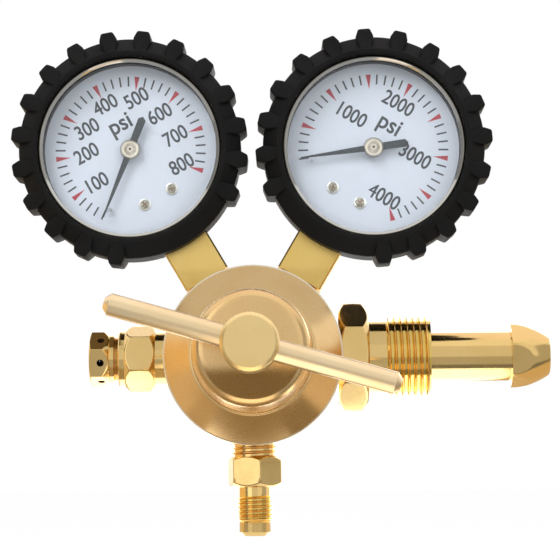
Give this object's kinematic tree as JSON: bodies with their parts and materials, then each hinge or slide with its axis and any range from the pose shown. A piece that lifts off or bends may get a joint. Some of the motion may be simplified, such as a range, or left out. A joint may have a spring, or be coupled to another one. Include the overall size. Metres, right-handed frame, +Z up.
{
  "type": "gas pressure regulator",
  "caption": "Brass gas cylinder regulator with a T-handle, a domed spring cover, round gauges in toothed rubber boots, a relief valve, a flared outlet and a cylinder nut with a rounded nipple.",
  "frame": {"origin": "centre of the inlet nipple's rounded end face, where the cylinder valve holds the regulator", "axes": "+X out of the inlet, towards the cylinder valve; +Z up; the T-handle and the dials face -Y"},
  "size_m": [0.1562, 0.091, 0.1465],
  "materials": {
    "body_brass": "satin machined brass",
    "bonnet_brass": "satin coppery brass",
    "polished_brass": "polished brass",
    "handle_brass": "satin yellow brass",
    "rod_brass": "satin pale brass",
    "stem_brass": "matt yellow brass",
    "brass": "turned brass",
    "sintered_bronze": "rough sintered bronze",
    "bronze_tube": "drawn bronze",
    "copper": "copper",
    "steel": "bright steel",
    "nickel": "nickel plated",
    "dark_chrome": "dark chrome",
    "case_black": "black painted steel",
    "boot_rubber": "matt black rubber",
    "black_rubber": "rubber",
    "white_plastic": "plain plastic",
    "dial_white": "white paint",
    "pointer_dark": "dark paint",
    "lens_glass": "clear lens"
  },
  "bodies": {
    "regulator": {"body": "body_brass", "bonnet": "bonnet_brass", "diaphragm": "black_rubber", "diaphragm_washer": "steel", "range_spring": "steel", "valve_nozzle": "brass", "poppet_spring": "steel", "inlet_nipple": "polished_brass", "inlet_filter": "sintered_bronze", "relief_body": "polished_brass", "relief_cap": "polished_brass", "relief_spring": "steel", "relief_washer": "copper", "outlet_fitting": "polished_brass", "low_gauge_case": "case_black", "low_gauge_bezel": "dark_chrome", "low_gauge_lens": "lens_glass", "low_gauge_dial": "dial_white", "low_gauge_dial_screws": "steel", "low_gauge_stop_pin": "steel", "low_gauge_socket": "stem_brass", "low_gauge_bourdon_tube": "bronze_tube", "low_gauge_tube_tip": "brass", "low_gauge_movement_frame": "brass", "low_gauge_hairspring": "bronze_tube", "low_gauge_boot": "boot_rubber", "low_gauge_case_screws": "steel", "high_gauge_case": "case_black", "high_gauge_bezel": "dark_chrome", "high_gauge_lens": "lens_glass", "high_gauge_dial": "dial_white", "high_gauge_dial_screws": "steel", "high_gauge_stop_pin": "steel", "high_gauge_socket": "stem_brass", "high_gauge_bourdon_tube": "bronze_tube", "high_gauge_tube_tip": "brass", "high_gauge_movement_frame": "brass", "high_gauge_hairspring": "bronze_tube", "high_gauge_boot": "boot_rubber", "high_gauge_case_screws": "steel"},
    "t_handle": {"adjusting_screw": "handle_brass", "t_handle_rod": "rod_brass"},
    "button": {"spring_button": "steel"},
    "diaphragm_centre": {"diaphragm_plate": "brass", "diaphragm_nut": "steel"},
    "main_valve": {"valve_poppet": "brass", "poppet_seal": "white_plastic"},
    "relief_valve": {"relief_disc": "brass"},
    "cylinder_nut": {"inlet_nut": "polished_brass"},
    "low_pointer": {"low_gauge_pointer": "pointer_dark", "low_gauge_pointer_hub": "nickel", "low_gauge_pinion": "brass"},
    "low_sector": {"low_gauge_sector_gear": "brass"},
    "low_link": {"low_gauge_link": "brass"},
    "high_pointer": {"high_gauge_pointer": "pointer_dark", "high_gauge_pointer_hub": "nickel", "high_gauge_pinion": "brass"},
    "high_sector": {"high_gauge_sector_gear": "brass"},
    "high_link": {"high_gauge_link": "brass"}
  },
  "joints": [
    {"name": "button_slide", "type": "slide", "parent": "regulator", "child": "button", "axis": [0, 1, 0], "range_m": [-0.0015, 0.0075], "deforming": ["range_spring"]},
    {"name": "t_handle_turn", "type": "hinge", "parent": "button", "child": "t_handle", "pos_m": [-0.0866, -0.07, 0], "axis": [0, 1, 0], "range_deg": [-360, 1800]},
    {"name": "diaphragm_slide", "type": "slide", "parent": "regulator", "child": "diaphragm_centre", "axis": [0, 1, 0], "range_m": [0, 0.0008], "stiffness_N_per_m": 2000, "deforming": ["diaphragm", "range_spring"]},
    {"name": "main_valve_slide", "type": "slide", "parent": "regulator", "child": "main_valve", "axis": [0, 1, 0], "range_m": [0, 0.0008], "stiffness_N_per_m": 500, "deforming": ["poppet_spring"]},
    {"name": "relief_valve_slide", "type": "slide", "parent": "regulator", "child": "relief_valve", "axis": [-1, 0, 0], "range_m": [0, 0.0015], "stiffness_N_per_m": 1500, "deforming": ["relief_spring"]},
    {"name": "cylinder_nut_slide", "type": "slide", "parent": "regulator", "child": "cylinder_nut", "axis": [1, 0, 0], "range_m": [0, 0.0233]},
    {"name": "low_pointer_turn", "type": "hinge", "parent": "regulator", "child": "low_pointer", "pos_m": [-0.122, 0, 0.06046], "axis": [0, 1, 0], "range_deg": [0, 263], "stiffness_Nm_per_rad": 0.0002, "deforming": ["low_gauge_bourdon_tube", "low_gauge_tube_tip", "low_gauge_hairspring"]},
    {"name": "low_sector_turn", "type": "hinge", "parent": "regulator", "child": "low_sector", "pos_m": [-0.11218, 0, 0.05487], "axis": [0, 1, 0], "range_deg": [-33.5, 0.5]},
    {"name": "low_link_turn", "type": "hinge", "parent": "low_sector", "child": "low_link", "pos_m": [-0.10688, 0, 0.05863], "axis": [0, 1, 0], "range_deg": [-0.5, 33.5]},
    {"name": "high_pointer_turn", "type": "hinge", "parent": "regulator", "child": "high_pointer", "pos_m": [-0.0512, 0, 0.06046], "axis": [0, 1, 0], "range_deg": [0, 263], "stiffness_Nm_per_rad": 0.0002, "deforming": ["high_gauge_bourdon_tube", "high_gauge_tube_tip", "high_gauge_hairspring"]},
    {"name": "high_sector_turn", "type": "hinge", "parent": "regulator", "child": "high_sector", "pos_m": [-0.05127, 0, 0.04916], "axis": [0, 1, 0], "range_deg": [-33.5, 0.5]},
    {"name": "high_link_turn", "type": "hinge", "parent": "high_sector", "child": "high_link", "pos_m": [-0.04539, 0, 0.04638], "axis": [0, 1, 0], "range_deg": [-0.5, 33.5]}
  ],
  "couplings": [
    {"joint": "t_handle_turn", "follows": "button_slide", "rad_per_m": 4188.8},
    {"joint": "main_valve_slide", "follows": "diaphragm_slide", "ratio": 1},
    {"joint": "low_sector_turn", "follows": "low_pointer_turn", "ratio": -0.125},
    {"joint": "low_link_turn", "follows": "low_pointer_turn", "ratio": 0.125},
    {"joint": "high_sector_turn", "follows": "high_pointer_turn", "ratio": -0.125},
    {"joint": "high_link_turn", "follows": "high_pointer_turn", "ratio": 0.125}
  ]
}
